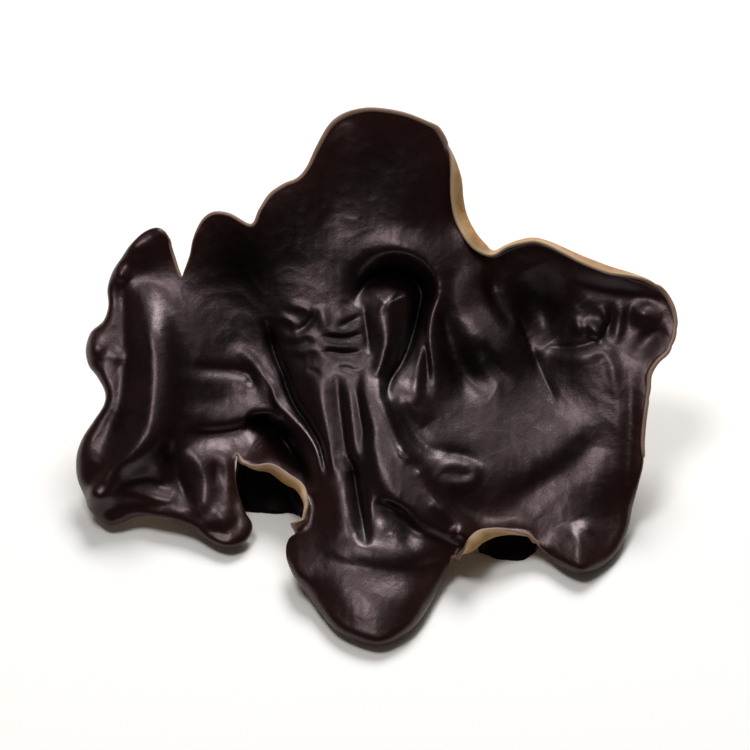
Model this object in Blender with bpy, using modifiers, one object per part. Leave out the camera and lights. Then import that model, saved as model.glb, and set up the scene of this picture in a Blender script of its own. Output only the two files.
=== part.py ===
"""One dried wood ear, full size: a thin leathery leaf, dried into lobes and folds, on the stub it grew from.

The leaf's places are drawn on a leaning plane, the one that faces somebody who looks down on it at LEAN.
Each mark there says how far across and how far up the plane it is, and how high the leaf is above the table.
"""

import math

import bmesh
import bpy
import numpy as np
from mathutils import Vector
from mathutils.geometry import delaunay_2d_cdt

MM = 0.001
LEAN = math.radians(42)
THICKNESS = 0.95 * MM
STRIP_WIDTH = 2.15 * MM
ROLL_ROWS = 3
FULL_ROLL = math.radians(40)
MESH_STEP = 1.18 * MM
CURVE_CUTS = 24
ROW_CUTS = 8
LEAST_GAP = 0.6
ALMOST_NOTHING = 1e-12
MERGE_WITHIN = 1e-9
ON_RING = 0.01 * MM
LEAF_COLOUR = (0.020, 0.011, 0.010, 1.0)
LEAF_ROUGHNESS = 0.35

# The stub grows from the leaf's back at STUB_AT on the leaning plane, and is cut flat where it left the log.
# Each row of its profile says how far down it lies, as a share of the way from the leaf to the cut, and how
# wide it is there, as a share of the top's width
STUB_AT = (0.8 * MM, 5.6 * MM)
STUB_RADIUS = 6.6 * MM
STUB_SECTORS = 40
STUB_RIBS = 7
STUB_RIB_DEPTH = 0.07
STUB_PROFILE = ((0.13, 0.95), (0.24, 0.86), (0.36, 0.75), (0.5, 0.65), (0.75, 0.57), (1.0, 0.58))

# Across, up, height of the rim in mm, and how far it rolls under, in degrees
RIM = [
    (-19.9, 9.4, 14.6, 0), (-18.9, 11.4, 16, 0), (-18.5, 13.3, 17.4, 0), (-17.9, 15, 18.6, 0),
    (-16.8, 15.9, 19.4, 0), (-15.2, 15.8, 19.6, 0), (-12.9, 14.7, 19, 0), (-12, 16.3, 20.2, 0),
    (-11, 17.8, 21.1, 0), (-9.6, 18.8, 21.7, 0), (-8.2, 19.4, 22.1, 0), (-7.2, 20.6, 22.9, 0),
    (-6.3, 22.5, 24.2, 0), (-5, 24.8, 25.8, 0), (-3.5, 25.9, 26.5, 0), (-1.5, 26.4, 27.3, 0),
    (0.5, 26.3, 27.4, 0), (2.5, 25.9, 27.1, 0), (4.4, 25.2, 26.5, 0), (5.8, 24.5, 25.9, 0),
    (6.8, 23, 24.7, 0), (7.5, 21.4, 23.5, 0), (8.1, 19.4, 21.9, 0), (8.3, 17.4, 20.3, 0),
    (8.7, 15.6, 18.9, 0), (9.6, 13.9, 18.2, 0), (10.6, 12.7, 17.4, 0), (11.4, 12.1, 17.1, 0),
    (12.6, 12.7, 17.7, 0), (14, 13.2, 18.3, 0), (15.5, 13.4, 18.7, 0), (17, 13, 18.7, 0),
    (18.6, 12.3, 18.5, 0), (20.1, 11.6, 18.2, 0), (21.6, 11, 17.9, 0), (23.2, 10.4, 17.6, 0),
    (25, 9.9, 17.2, 0), (27, 9.2, 16.6, 0), (28.4, 8.2, 15.9, 0), (29.2, 6.8, 15, 0),
    (29.6, 5, 14.1, 0), (29.3, 3.4, 13.3, 0), (28.8, 2, 12.7, 0), (27.8, 0.9, 12.1, 0),
    (27, -0.4, 11.3, 0), (26.8, -2, 10.5, 0), (26.4, -4.2, 9.3, 0), (26.1, -6.6, 7.8, 0),
    (25.9, -9, 6.3, 20), (25.5, -11.4, 4.6, 50), (25.1, -13.6, 2.8, 80), (24.6, -15.8, 1.9, 100),
    (23.5, -17.9, 1.3, 100), (21.9, -19.3, 1, 100), (20, -19.9, 1.1, 100), (18.4, -19.5, 1.2, 90),
    (17.1, -18.6, 1.6, 60), (16.2, -17.5, 2, 30), (15, -16.5, 2.5, 0), (13.4, -16.1, 2.9, 0),
    (11.6, -16.2, 3.2, 0), (10, -16.9, 3.1, 0), (8.6, -17.9, 2.8, 10), (7.2, -18.4, 2.6, 40),
    (6.2, -20.3, 2.1, 70), (5.1, -22.6, 1.7, 80), (3.6, -24.8, 1.5, 80), (1.9, -26.1, 1.4, 80),
    (0, -26.8, 1.4, 80), (-2.1, -26.4, 1.4, 80), (-4.4, -25.3, 1.5, 80), (-6, -23.5, 1.7, 80),
    (-7.3, -21.7, 2, 80), (-8.5, -20.1, 2.8, 70), (-9.2, -18.2, 3, 60), (-8.9, -16.4, 3.5, 30),
    (-8.1, -14.9, 4.1, 0), (-7.5, -13.3, 4.6, 0), (-8.1, -11.9, 4.9, 0), (-9.5, -10.8, 5, 0),
    (-11, -9.9, 5, 0), (-12.4, -9.7, 5, 0), (-13.6, -9.2, 5.2, 0), (-14.4, -8.2, 5.7, 0),
    (-14.7, -9.4, 5, 10), (-14.4, -11.6, 3.9, 30), (-13.5, -13.8, 3.2, 45), (-12.7, -15.3, 2.3, 55),
    (-13.3, -16.8, 1.6, 65), (-14.9, -17.5, 1.4, 70), (-16.6, -17, 1.6, 70), (-18.6, -15.7, 1.9, 60),
    (-20.4, -14.7, 2.3, 50), (-22.2, -14.3, 2.4, 50), (-24.2, -14.4, 2, 70), (-26, -15.1, 1.6, 90),
    (-27.4, -15.2, 1.4, 100), (-28.9, -13.8, 1.9, 90), (-29.4, -12.5, 2.8, 90), (-30.2, -10.6, 3.9, 100),
    (-30.3, -8.5, 5.2, 100), (-29.7, -6.6, 6.5, 100), (-28.6, -4.9, 7.6, 100), (-27.6, -3.3, 8.6, 90),
    (-27.5, -2, 9.2, 90), (-28.3, -0.5, 9.6, 90), (-29.2, 0.7, 10, 100), (-29.5, 2.3, 10.7, 100),
    (-29, 4, 11.5, 100), (-27.8, 5.1, 12.1, 90), (-27.3, 6.6, 12.8, 90), (-27.4, 8.4, 13.6, 90),
    (-26.9, 10.1, 14.5, 90), (-26, 11.5, 15.6, 90), (-25, 12.9, 17, 80), (-23.7, 14, 17.6, 60),
    (-22.3, 14.3, 18, 30), (-21.4, 13.3, 17.3, 0), (-20.8, 11.6, 15.9, 0),
]

# Across, up, height of places inside the rim, in mm
SWELL = [
    (-24, 10, 14.6), (-23.5, 4, 12.8), (-23.5, -2, 10.2), (-24, -7, 7.6), (-26.5, -11, 4.6),
    (-18, 5, 12), (-18, 0, 9.2), (-17, -5, 7.4), (-17.5, -10, 5.2), (-21, -11, 4.2),
    (-16, -14.5, 2.9), (-14, 10, 15.4), (-14, 4, 11.6), (-12, 0, 9.4), (-10, 14, 18.6), (-8, 8, 15),
    (-6, 3, 12.6), (-6, -2, 10.2), (-9, -7, 6.7), (-5, -10, 7.2), (-5, -15, 5.6), (0, 21, 23.2),
    (1, 16, 19.8), (3, 13, 17.9), (-4, 16, 19.8), (-3, 22, 24), (4.5, 19, 21.8), (1, 8, 15),
    (2, 4, 13), (0.5, -4, 10.3), (3.5, -10, 7.7), (6, -13, 6), (0, -14, 6.3), (0, -20, 4.2),
    (-4, -21, 3.7), (3, -22, 3.2), (8.5, 8, 14.8), (8.5, 2.4, 12.2), (8.5, -1.8, 9.6),
    (12.4, 2, 11.6), (12, -1.6, 9.6), (14, 8, 14.4), (16, 1, 10.2), (20, 7, 14.4), (20, 1, 11.2),
    (24.5, 5, 13.4), (12, -5, 8.1), (18, -4, 8.2),
    (23, -3, 9.4), (12, -9, 6.6), (18, -9, 6.4), (23, -9, 5.9), (14, -13, 4.3), (19.5, -15, 3.2),
    (10, -12.5, 5.2), (25.5, 0.5, 11.5),
]

# Folds: places along the fold, how far it stands out (or sinks in), and its half width, in mm
FOLDS = {
    "main ridge": (((-0.7, -1), (0.0, -5), (1.2, -9), (3.4, -12.4), (8.4, -15.8)), 0.8, 1.9),
    "lip of the pucker": (((-1.4, 11), (1.2, 12), (4.6, 10.8), (5.7, 8), (5, 4), (5.4, 0)), 0.7, 1.2),
    "pucker": (((-2, 8), (0.4, 9.5), (3.2, 9.2), (4, 7), (3.0, 2.6), (1.6, 0)), -1.4, 1.4),
    "left crease": (((-11.4, 4.6), (-9.8, 0), (-7.2, -5.2), (-5.6, -8.6)), -0.6, 1.0),
    "second fold": (((-6.8, 0.4), (-6, -3), (-5.2, -6.6), (-4.6, -9.5)), 0.5, 1.0),
    "valley beside the ridge": (((-4.4, -2), (-3.6, -7), (-2.6, -12), (-1.7, -16)), -0.8, 0.9),
    "hollow of the left notch": (((-11.4, -5.3), (-9.4, -7), (-7.8, -9.8)), -1.6, 1.7),
    "left crest": (((-23.6, 6.4), (-22.7, 0), (-23, -6), (-26.2, -10), (-28.2, -12)), 0.9, 1.5),
    "left outer valley": (((-25.9, 6.8), (-25.8, 0), (-27, -6)), -0.6, 1.3),
    "left lower valley": (((-20.9, -7.4), (-20.2, -10.4), (-19.3, -12.8)), -0.6, 1.0),
    "left lower ridge": (((-18.4, -8.2), (-17.2, -11), (-18, -13.8)), 0.4, 1.0),
    "lobe crease": (((-6.6, -17.8), (-2, -19.5), (2, -19.9), (5.6, -19)), -0.4, 1.3),
    "dark hollow": (((6.6, 4.6), (7.6, 1.2), (9, -0.6)), -0.9, 1.3),
    "upper hollow": (((15, 9), (16.4, 5), (17.4, 3.6)), -0.9, 2.4),
    "right lobe bulge": (((19.3, -16.4), (19.9, -19)), 1.0, 2.2),
}


def closed_curve(marks, step):
    """A smooth closed curve through the marks, cut into equal lengths of about one step."""
    marks = np.array(marks, float)
    part = np.linspace(0, 1, CURVE_CUTS, endpoint=False)[:, None]
    pieces = []
    for i, start in enumerate(marks):
        before, end, after = marks[i - 1], marks[(i + 1) % len(marks)], marks[(i + 2) % len(marks)]
        bend = 2 * before - 5 * start + 4 * end - after
        pieces.append(0.5 * (2 * start + (end - before) * part + bend * part**2
                             + (3 * start - before - 3 * end + after) * part**3))
    curve = np.concatenate(pieces + [pieces[0][:1]])
    length = np.concatenate([[0], np.cumsum(np.linalg.norm(np.diff(curve[:, :2], axis=0), axis=1))])
    count = round(length[-1] / step)
    wanted = np.arange(count) * length[-1] / count
    return np.column_stack([np.interp(wanted, length, column) for column in curve.T])


def bending_sheet(marks):
    """The surface through the marks that bends least, as a function of across and up."""
    marks = np.array(marks, float)
    places = marks[:, :2]
    count = len(marks)

    def pull(points):
        square = ((points[:, None] - places[None]) ** 2).sum(-1)
        return 0.5 * square * np.log(np.maximum(square, ALMOST_NOTHING))

    flat = np.column_stack([np.ones(count), places])
    system = np.block([[pull(places), flat], [flat.T, np.zeros((3, 3))]])
    weights = np.linalg.solve(system, np.concatenate([marks[:, 2], np.zeros(3)]))

    def height(points):
        return pull(points) @ weights[:count] + weights[count] + points @ weights[count + 1:]

    return height


def relief(points):
    """How far the folds lift each place towards the front."""
    total = np.zeros(len(points))
    for path, lift, half_width in FOLDS.values():
        path = np.array(path, float) * MM
        nearest = np.full(len(points), np.inf)
        for start, end in zip(path[:-1], path[1:]):
            run = end - start
            part = np.clip((points - start) @ run / (run @ run), 0, 1)
            nearest = np.minimum(nearest, np.linalg.norm(points - start - part[:, None] * run, axis=1))
        total += lift * MM * np.exp(-(nearest / (half_width * MM)) ** 2)
    return total


def in_room(across, up, depth):
    """A place on the leaning plane, and its depth behind the plane, as x, y and z."""
    return np.column_stack([across, up * math.sin(LEAN) + depth * math.cos(LEAN),
                            up * math.cos(LEAN) - depth * math.sin(LEAN)])


def inside(points, outline):
    """Which points lie within a closed outline."""
    x, y = points[:, 0], points[:, 1]
    crossed = np.zeros(len(points), bool)
    for (x0, y0), (x1, y1) in zip(outline, np.roll(outline, -1, axis=0)):
        if y0 != y1:
            between = (y0 > y) != (y1 > y)
            crossed ^= between & (x < x0 + (y - y0) * (x1 - x0) / (y1 - y0))
    return crossed


def lattice(outline, ring, step):
    """Evenly spread places within the outline, none of them close to it or to the ring inside it."""
    low, high = outline.min(0), outline.max(0)
    rows = []
    row_step = step * math.sqrt(3) / 2
    for i in range(int((high[1] - low[1]) / row_step) + 1):
        across = np.arange(low[0] + step / 2 * (i % 2), high[0], step)
        rows.append(np.column_stack([across, np.full(len(across), low[1] + i * row_step)]))
    points = np.concatenate(rows)
    points = points[inside(points, outline)]
    kept_off = np.concatenate([outline, ring])
    gap = np.array([np.linalg.norm(kept_off - point, axis=1).min() for point in points])
    return points[gap > LEAST_GAP * step]


def stub_ring():
    """The outline of the stub where it meets the leaf, on the leaning plane."""
    turn = np.arange(STUB_SECTORS) * 2 * math.pi / STUB_SECTORS
    radius = STUB_RADIUS * (1 + STUB_RIB_DEPTH * np.cos(STUB_RIBS * turn))
    return np.column_stack([radius * np.cos(turn), radius * np.sin(turn)]) + STUB_AT


def rolled_strip(rim, slope):
    """How far out and how deep the rim strip's rows reach, bending from the leaf's slope to its roll."""
    roll = np.radians(rim[:, 3])
    end = slope + (roll - slope) * np.minimum(1, roll / FULL_ROLL)
    rows = np.linspace(0, 1, ROLL_ROWS * ROW_CUTS + 1)[:, None]
    angle = slope + (end - slope) * rows
    step = STRIP_WIDTH / (len(rows) - 1)
    middle = (angle[1:] + angle[:-1]) / 2
    start = np.zeros((1, len(rim)))
    out = np.concatenate([start, np.cumsum(np.cos(middle) * step, axis=0)])
    deep = np.concatenate([start, np.cumsum(np.sin(middle) * step, axis=0)])
    return out, deep


def leaf_surface():
    """The leaf's upper surface: a flat fill within the rim, raised to its height, and the rolled rim."""
    rim = closed_curve(np.array(RIM) * (MM, MM, MM, 1), MESH_STEP)
    height = bending_sheet(np.concatenate([np.array(RIM)[:, :3], np.array(SWELL)]) * MM)

    def depth_of(points):
        base = (points[:, 1] * math.cos(LEAN) - height(points)) / math.sin(LEAN)
        return base - relief(points)

    along = np.roll(rim[:, :2], -2, axis=0) - np.roll(rim[:, :2], 2, axis=0)
    along /= np.linalg.norm(along, axis=1)[:, None]
    outward = np.column_stack([-along[:, 1], along[:, 0]])
    near, far = rim[:, :2] - outward * STRIP_WIDTH, rim[:, :2] - outward * STRIP_WIDTH / 2
    slope = np.arctan2(depth_of(far) - depth_of(near), STRIP_WIDTH / 2)
    out, deep = rolled_strip(rim, slope)
    strip_start = rim[:, :2] - outward * out.max(axis=0)[:, None]

    ring = stub_ring()
    spots = np.concatenate([strip_start, ring, lattice(strip_start, ring, MESH_STEP)])
    count = len(strip_start)
    edges = [(i, (i + 1) % count) for i in range(count)]
    edges += [(count + i, count + (i + 1) % STUB_SECTORS) for i in range(STUB_SECTORS)]
    places, _, faces, origins, _, _ = delaunay_2d_cdt([Vector(p) for p in spots], edges, [], 1, MERGE_WITHIN)
    spots = np.array([tuple(place) for place in places])
    from_ring = np.linalg.norm(spots[:, None] - ring[None], axis=2).min(1)
    over_stub = inside(spots, ring) | (from_ring < ON_RING)
    leaf = bmesh.new()
    stub_mark = leaf.verts.layers.float.new("stub")
    verts = [leaf.verts.new(p) for p in in_room(spots[:, 0], spots[:, 1], depth_of(spots))]
    for vert, marked in zip(verts, over_stub):
        vert[stub_mark] = float(marked)
    for face in faces:
        leaf.faces.new([verts[i] for i in face])

    kept = {old: verts[new] for new, olds in enumerate(origins) for old in olds}
    inner = [kept[i] for i in range(count)]
    start_depth = depth_of(strip_start)
    for row in range(ROW_CUTS, len(out), ROW_CUTS):
        place = strip_start + outward * out[row][:, None]
        outer = [leaf.verts.new(p) for p in in_room(place[:, 0], place[:, 1], start_depth + deep[row])]
        for i in range(count):
            j = (i + 1) % count
            leaf.faces.new((inner[j], inner[i], outer[i], outer[j]))
        inner = outer
    bmesh.ops.recalc_face_normals(leaf, faces=leaf.faces)
    leaf.faces.ensure_lookup_table()
    if sum(face.normal.z for face in leaf.faces) < 0:
        bmesh.ops.reverse_faces(leaf, faces=leaf.faces)
    return leaf


def grow_stub(leaf, upper_count):
    """Draws the stub down from the marked patch of the leaf's back, row by row, to its flat cut."""
    leaf.verts.ensure_lookup_table()
    mark = leaf.verts.layers.float["stub"]
    back = {vert for vert in leaf.verts[upper_count:] if vert[mark]}
    patch = [face for face in leaf.faces if all(vert in back for vert in face.verts)]
    start = leaf.verts.layers.float_vector.new("start")
    for vert in {vert for face in patch for vert in face.verts}:
        vert[start] = vert.co
    tops = [vert.co.copy() for face in patch for vert in face.verts]
    axis = sum(tops, Vector()) / len(tops)
    for down, width in STUB_PROFILE:
        grown = bmesh.ops.extrude_face_region(leaf, geom=patch)["geom"]
        bmesh.ops.delete(leaf, geom=patch, context="FACES")
        patch = [item for item in grown if isinstance(item, bmesh.types.BMFace)]
        for vert in [item for item in grown if isinstance(item, bmesh.types.BMVert)]:
            origin = vert[start]
            vert.co = (axis.x + (origin.x - axis.x) * width, axis.y + (origin.y - axis.y) * width,
                       origin.z * (1 - down))


def object_of(name, shape, collection):
    """A mesh object made from a bmesh."""
    mesh = bpy.data.meshes.new(name)
    shape.to_mesh(mesh)
    thing = bpy.data.objects.new(name, mesh)
    collection.objects.link(thing)
    return thing


def leaf_material():
    material = bpy.data.materials.new("dried leaf")
    material.use_nodes = True
    shader = material.node_tree.nodes["Principled BSDF"]
    shader.inputs["Base Color"].default_value = LEAF_COLOUR
    shader.inputs["Roughness"].default_value = LEAF_ROUGHNESS
    return material


for thing in list(bpy.data.objects):
    bpy.data.objects.remove(thing, do_unlink=True)
parts = bpy.data.collections.new("dried_wood_ear")
guides = bpy.data.collections.new("guides")
bpy.context.scene.collection.children.link(parts)
bpy.context.scene.collection.children.link(guides)

surface = leaf_surface()
upper_count = len(surface.verts)
sheet = object_of("sheet", surface, guides)
shell = sheet.modifiers.new("thickness", "SOLIDIFY")
shell.thickness = THICKNESS
shell.offset = -1
bpy.context.view_layer.update()
thick = bpy.data.meshes.new_from_object(sheet.evaluated_get(bpy.context.evaluated_depsgraph_get()))
bpy.data.objects.remove(sheet, do_unlink=True)

leaf = bmesh.new()
leaf.from_mesh(thick)
grow_stub(leaf, upper_count)
bmesh.ops.recalc_face_normals(leaf, faces=leaf.faces)

wood_ear = object_of("wood_ear", leaf, parts)
wood_ear.data.materials.append(leaf_material())
wood_ear.data.shade_smooth()

# The origin is on the table, midway between the leaf's outermost points
corners = np.array([tuple(corner) for corner in wood_ear.bound_box])
middle = (corners.min(0) + corners.max(0)) / 2
wood_ear.location = (-middle[0], -middle[1], 0)
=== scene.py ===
import math

import bmesh
import bpy
import numpy as np
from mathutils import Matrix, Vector, noise
from mathutils.geometry import delaunay_2d_cdt


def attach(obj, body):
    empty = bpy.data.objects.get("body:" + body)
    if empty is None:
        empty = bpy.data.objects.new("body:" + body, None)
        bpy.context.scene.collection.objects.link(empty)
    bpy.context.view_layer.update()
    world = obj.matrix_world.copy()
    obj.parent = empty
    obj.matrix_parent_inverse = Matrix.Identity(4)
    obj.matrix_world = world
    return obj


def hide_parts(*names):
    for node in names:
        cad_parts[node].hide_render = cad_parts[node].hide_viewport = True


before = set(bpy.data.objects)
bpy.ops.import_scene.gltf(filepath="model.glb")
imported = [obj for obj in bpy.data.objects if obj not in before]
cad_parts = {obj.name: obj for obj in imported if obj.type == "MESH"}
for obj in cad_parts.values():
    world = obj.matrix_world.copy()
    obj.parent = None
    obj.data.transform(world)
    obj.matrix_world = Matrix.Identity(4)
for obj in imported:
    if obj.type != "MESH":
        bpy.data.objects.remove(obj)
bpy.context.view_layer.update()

# The leaf: one grown sheet of jelly fungus, about a millimetre thick and leathery, that dried hard into lobes,
# rolled rims and folds. Its upper side is nearly black and satin, its back is tan and suede-like, and on the back
# stands the short ribbed stub it grew from, cut flat. The sheet is lofted from marks taken on a leaning plane.
MM = 0.001
LEAN = math.radians(42)
LEAF_AT = (0.275, 15.394)
LEAF_STEP = 0.2
BACK_STEP = 0.42
RIM_SPACING = 0.24
THICKNESS = 0.95
RIM_THICKNESS = 0.5
RIM_FADE = 2.5
BAND_START = 0.75
ROLL_RADIUS = 1.05
OVER_RADIUS = 0.38
LOWEST = 0.04
CLEAR_OF_TABLE = 1.1
CLEAR_EASE = 0.3
BACK_WALL = 0.6
HORIZON = math.radians(80)
PALE_FROM = math.radians(10)
SOFT_NEAREST = 6
STRIP_ROWS = 9
EDGE_ROWS = 5
GRADIENT_STEP = 0.03
STUB_AT = (0.8, 5.6)
STUB_RADIUS = 6.6
STUB_SECTORS = 96
STUB_RIBS = 7
STUB_RIB_DEPTH = 0.07
STUB_PROFILE = ((0, 1.0), (0.13, 0.95), (0.24, 0.86), (0.36, 0.75), (0.5, 0.65), (0.75, 0.57), (1.0, 0.58))
STUB_ROWS = 16
STUB_FREE = 0.6

# Partly real inner folds, partly dark sheets standing in for the deep shade under the rim, their front painted
# shade
# Inner folds that hang from the back to the table under two stretches of rim: where each is rooted, and its foot
CURTAINS = [
    ([(-14.0, -6.9), (-12.4, -7.8), (-10.6, -8.4), (-8.9, -9.4), (-7.2, -11.2)],
     [(-14.9, -13.2), (-12.9, -13.9), (-10.8, -13.9), (-9.0, -14.0), (-7.6, -14.6)]),
    ([(9.6, -14.6), (11.2, -14.2), (13.0, -14.1), (14.8, -14.5), (16.0, -15.2)],
     [(10.0, -18.0), (11.6, -18.55), (13.0, -18.7), (14.4, -18.6), (15.6, -17.8)]),
]
CURTAIN_HALF = 0.4
CURTAIN_ROWS = 14
CURTAIN_BACK = 0.25

# Across, up, height above the table in mm, and roll in degrees: + tucks under, - turns over towards the front.
# A fifth value is how far a turned-over rim laps back over the front.
RIM = [
    (-19.9, 9.4, 14.6, 0), (-18.9, 11.4, 16, 0), (-18.5, 13.3, 17.4, 0), (-17.9, 15, 18.6, -5),
    (-16.8, 15.9, 19.4, -12), (-15.2, 15.8, 19.6, -12), (-12.9, 14.7, 19, -12),
    (-12, 16.3, 20.2, -10), (-11, 17.8, 21.1, -15), (-9.6, 18.8, 21.7, -15), (-8.2, 19.4, 22.1, -15),
    (-7.2, 20.6, 22.9, -15), (-6.3, 22.5, 24.2, -20), (-5, 24.8, 25.8, -20), (-3.5, 25.9, 26.5, -20),
    (-1.5, 26.4, 27.3, -20), (0.5, 26.3, 27.4, -20), (2.5, 25.9, 27.1, -20), (4.4, 25.2, 26.5, -20),
    (5.8, 24.5, 25.9, -30), (6.8, 23, 24.7, -60), (7.5, 21.4, 23.5, -120, 0.2), (8.1, 19.4, 21.9, -165, 0.3),
    (8.3, 17.4, 20.3, -170, 0.35), (8.7, 15.6, 18.9, -170, 0.4), (9.6, 13.9, 18.2, -170, 0.4),
    (10.6, 12.7, 17.4, -160, 0.35), (11.4, 12.1, 17.1, -120, 0.2), (12.6, 12.7, 17.7, -110, 0.1),
    (14, 13.2, 18.3, -120, 0.15), (15.5, 13.4, 18.7, -120, 0.15), (17, 13, 18.7, -125, 0.15),
    (18.6, 12.3, 18.5, -135, 0.15), (20.1, 11.6, 18.2, -140, 0.2), (21.6, 11, 17.9, -145, 0.2),
    (23.2, 10.4, 17.6, -140, 0.2), (25, 9.9, 17.2, -120, 0.1),
    (27, 9.2, 16.6, -90), (28.4, 8.2, 15.9, -40), (29.2, 6.8, 15, -30), (29.6, 5, 14.1, -20),
    (29.3, 3.4, 13.3, -20), (28.8, 2, 12.7, -40), (27.8, 0.9, 12.1, -60), (27, -0.4, 11.3, -50),
    (26.8, -2, 10.5, -26), (26.4, -4.2, 9.3, -18), (26.1, -6.6, 7.8, -9), (25.9, -9, 6.3, 4),
    (25.5, -11.4, 4.6, 40), (25.1, -13.6, 2.8, 80), (24.6, -15.8, 1.9, 110), (23.5, -17.9, 1.3, 120),
    (21.9, -19.3, 1, 120), (20, -19.9, 1.1, 120), (18.4, -19.5, 1.2, 110), (17.1, -18.6, 1.6, 80),
    (16.2, -17.5, 2, 30), (15, -16.5, 2.5, -60), (13.4, -16.1, 2.9, -110, 0.1), (11.6, -16.2, 3.2, -140, 0.3),
    (10, -16.9, 3.1, -150, 0.7), (8.6, -17.9, 2.8, -120, 0.6), (7.2, -18.4, 2.6, 0), (6.2, -20.3, 2.1, 70),
    (5.1, -22.6, 1.7, 80), (3.6, -24.8, 1.5, 80), (1.9, -26.1, 1.4, 80), (0, -26.8, 1.4, 80),
    (-2.1, -26.4, 1.4, 80), (-4.4, -25.3, 1.5, 80), (-6, -23.5, 1.7, 80), (-7.3, -21.7, 2, 80),
    (-8.5, -20.1, 2.8, 70), (-9.2, -18.2, 3, 60), (-8.9, -16.4, 3.5, 20), (-8.1, -14.9, 4.1, -50),
    (-7.5, -13.3, 4.6, -110, 0.1), (-8.1, -11.9, 4.9, -140, 0.3), (-9.5, -10.8, 5, -140, 0.3),
    (-11, -9.9, 5, -140, 0.3), (-12.4, -9.7, 5, -120, 0.1), (-13.6, -9.2, 5.2, -60), (-14.4, -8.2, 5.7, -20), (-14.7, -9.4, 5, 20),
    (-14.4, -11.6, 3.9, 40), (-13.5, -13.8, 3.2, 70), (-12.7, -15.3, 2.3, 100),
    (-13.3, -16.8, 1.6, 120), (-14.9, -17.5, 1.4, 120), (-16.6, -17, 1.6, 110),
    (-18.6, -15.7, 1.9, 80), (-20.4, -14.7, 2.3, 50), (-22.2, -14.3, 2.4, 50), (-24.2, -14.4, 2, 70),
    (-26, -15.1, 1.6, 90), (-27.4, -15.2, 1.4, 100), (-28.9, -13.8, 1.9, 90),
    (-29.4, -12.5, 2.8, 90), (-30.2, -10.6, 3.9, 100), (-30.3, -8.5, 5.2, 110),
    (-29.7, -6.6, 6.5, 110), (-28.6, -4.9, 7.6, 100), (-27.6, -3.3, 8.6, 90), (-27.5, -2, 9.2, 90),
    (-28.3, -0.5, 9.6, 90), (-29.2, 0.7, 10, 100), (-29.5, 2.3, 10.7, 110), (-29, 4, 11.5, 100),
    (-27.8, 5.1, 12.1, 90), (-27.3, 6.6, 12.8, 90), (-27.4, 8.4, 13.6, 90), (-26.9, 10.1, 14.5, 90),
    (-26, 11.5, 15.6, 90), (-25, 12.9, 17, 80), (-23.7, 14, 17.6, 60), (-22.3, 14.3, 18, 30),
    (-21.4, 13.3, 17.3, 0), (-20.8, 11.6, 15.9, -10),
]

# Across, up, height of places inside the rim, in mm
SWELL = [
    (-24, 10, 14.6), (-23.5, 4, 12.6), (-23.5, -2, 9.9), (-24, -7, 7.4), (-26.5, -11, 4.6),
    (-18, 5, 12.3), (-18, 0, 9.9), (-17, -5, 7.3), (-17.5, -10, 4.9), (-21, -11, 4.2),
    (-16, -14.5, 2.9), (-14, 10, 15.4), (-14, 4, 11.6), (-12, 0, 9.4), (-10, 14, 18.6), (-8, 8, 15),
    (-6, 3, 12.6), (-6, -2, 10.2), (-9, -7, 6.7), (-5, -10, 7.2), (-5, -15, 5.6), (0, 21, 23.2),
    (1, 16, 19.8), (3, 13, 17.9), (-4, 16, 19.8), (-3, 22, 24), (4.5, 19, 21.8), (1, 8, 15),
    (2, 4, 13), (0.5, -4, 10.3), (3.5, -10, 7.7), (6, -13, 6), (0, -14, 6.3), (0, -20, 4.4),
    (-4, -21, 3.7), (3, -22, 3.2), (8.5, 8, 14.8), (8.5, 2.4, 12.2), (8.5, -1.8, 9.6),
    (12.4, 2, 11.6), (12, -1.6, 9.6), (14, 8, 14.4), (16, 1, 10.2), (20, 7, 14.4), (20, 1, 11.2), (24.5, 5, 13.4), (12, -5, 8.1), (18, -4, 8.2),
    (23, -3, 9.4), (12, -9, 6.6), (18, -9, 6.4), (23, -9, 5.9), (14, -13, 4.3), (19.5, -15, 3.2),
    (10, -12.5, 5.2), (25.5, 0.5, 11.5),
]

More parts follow.
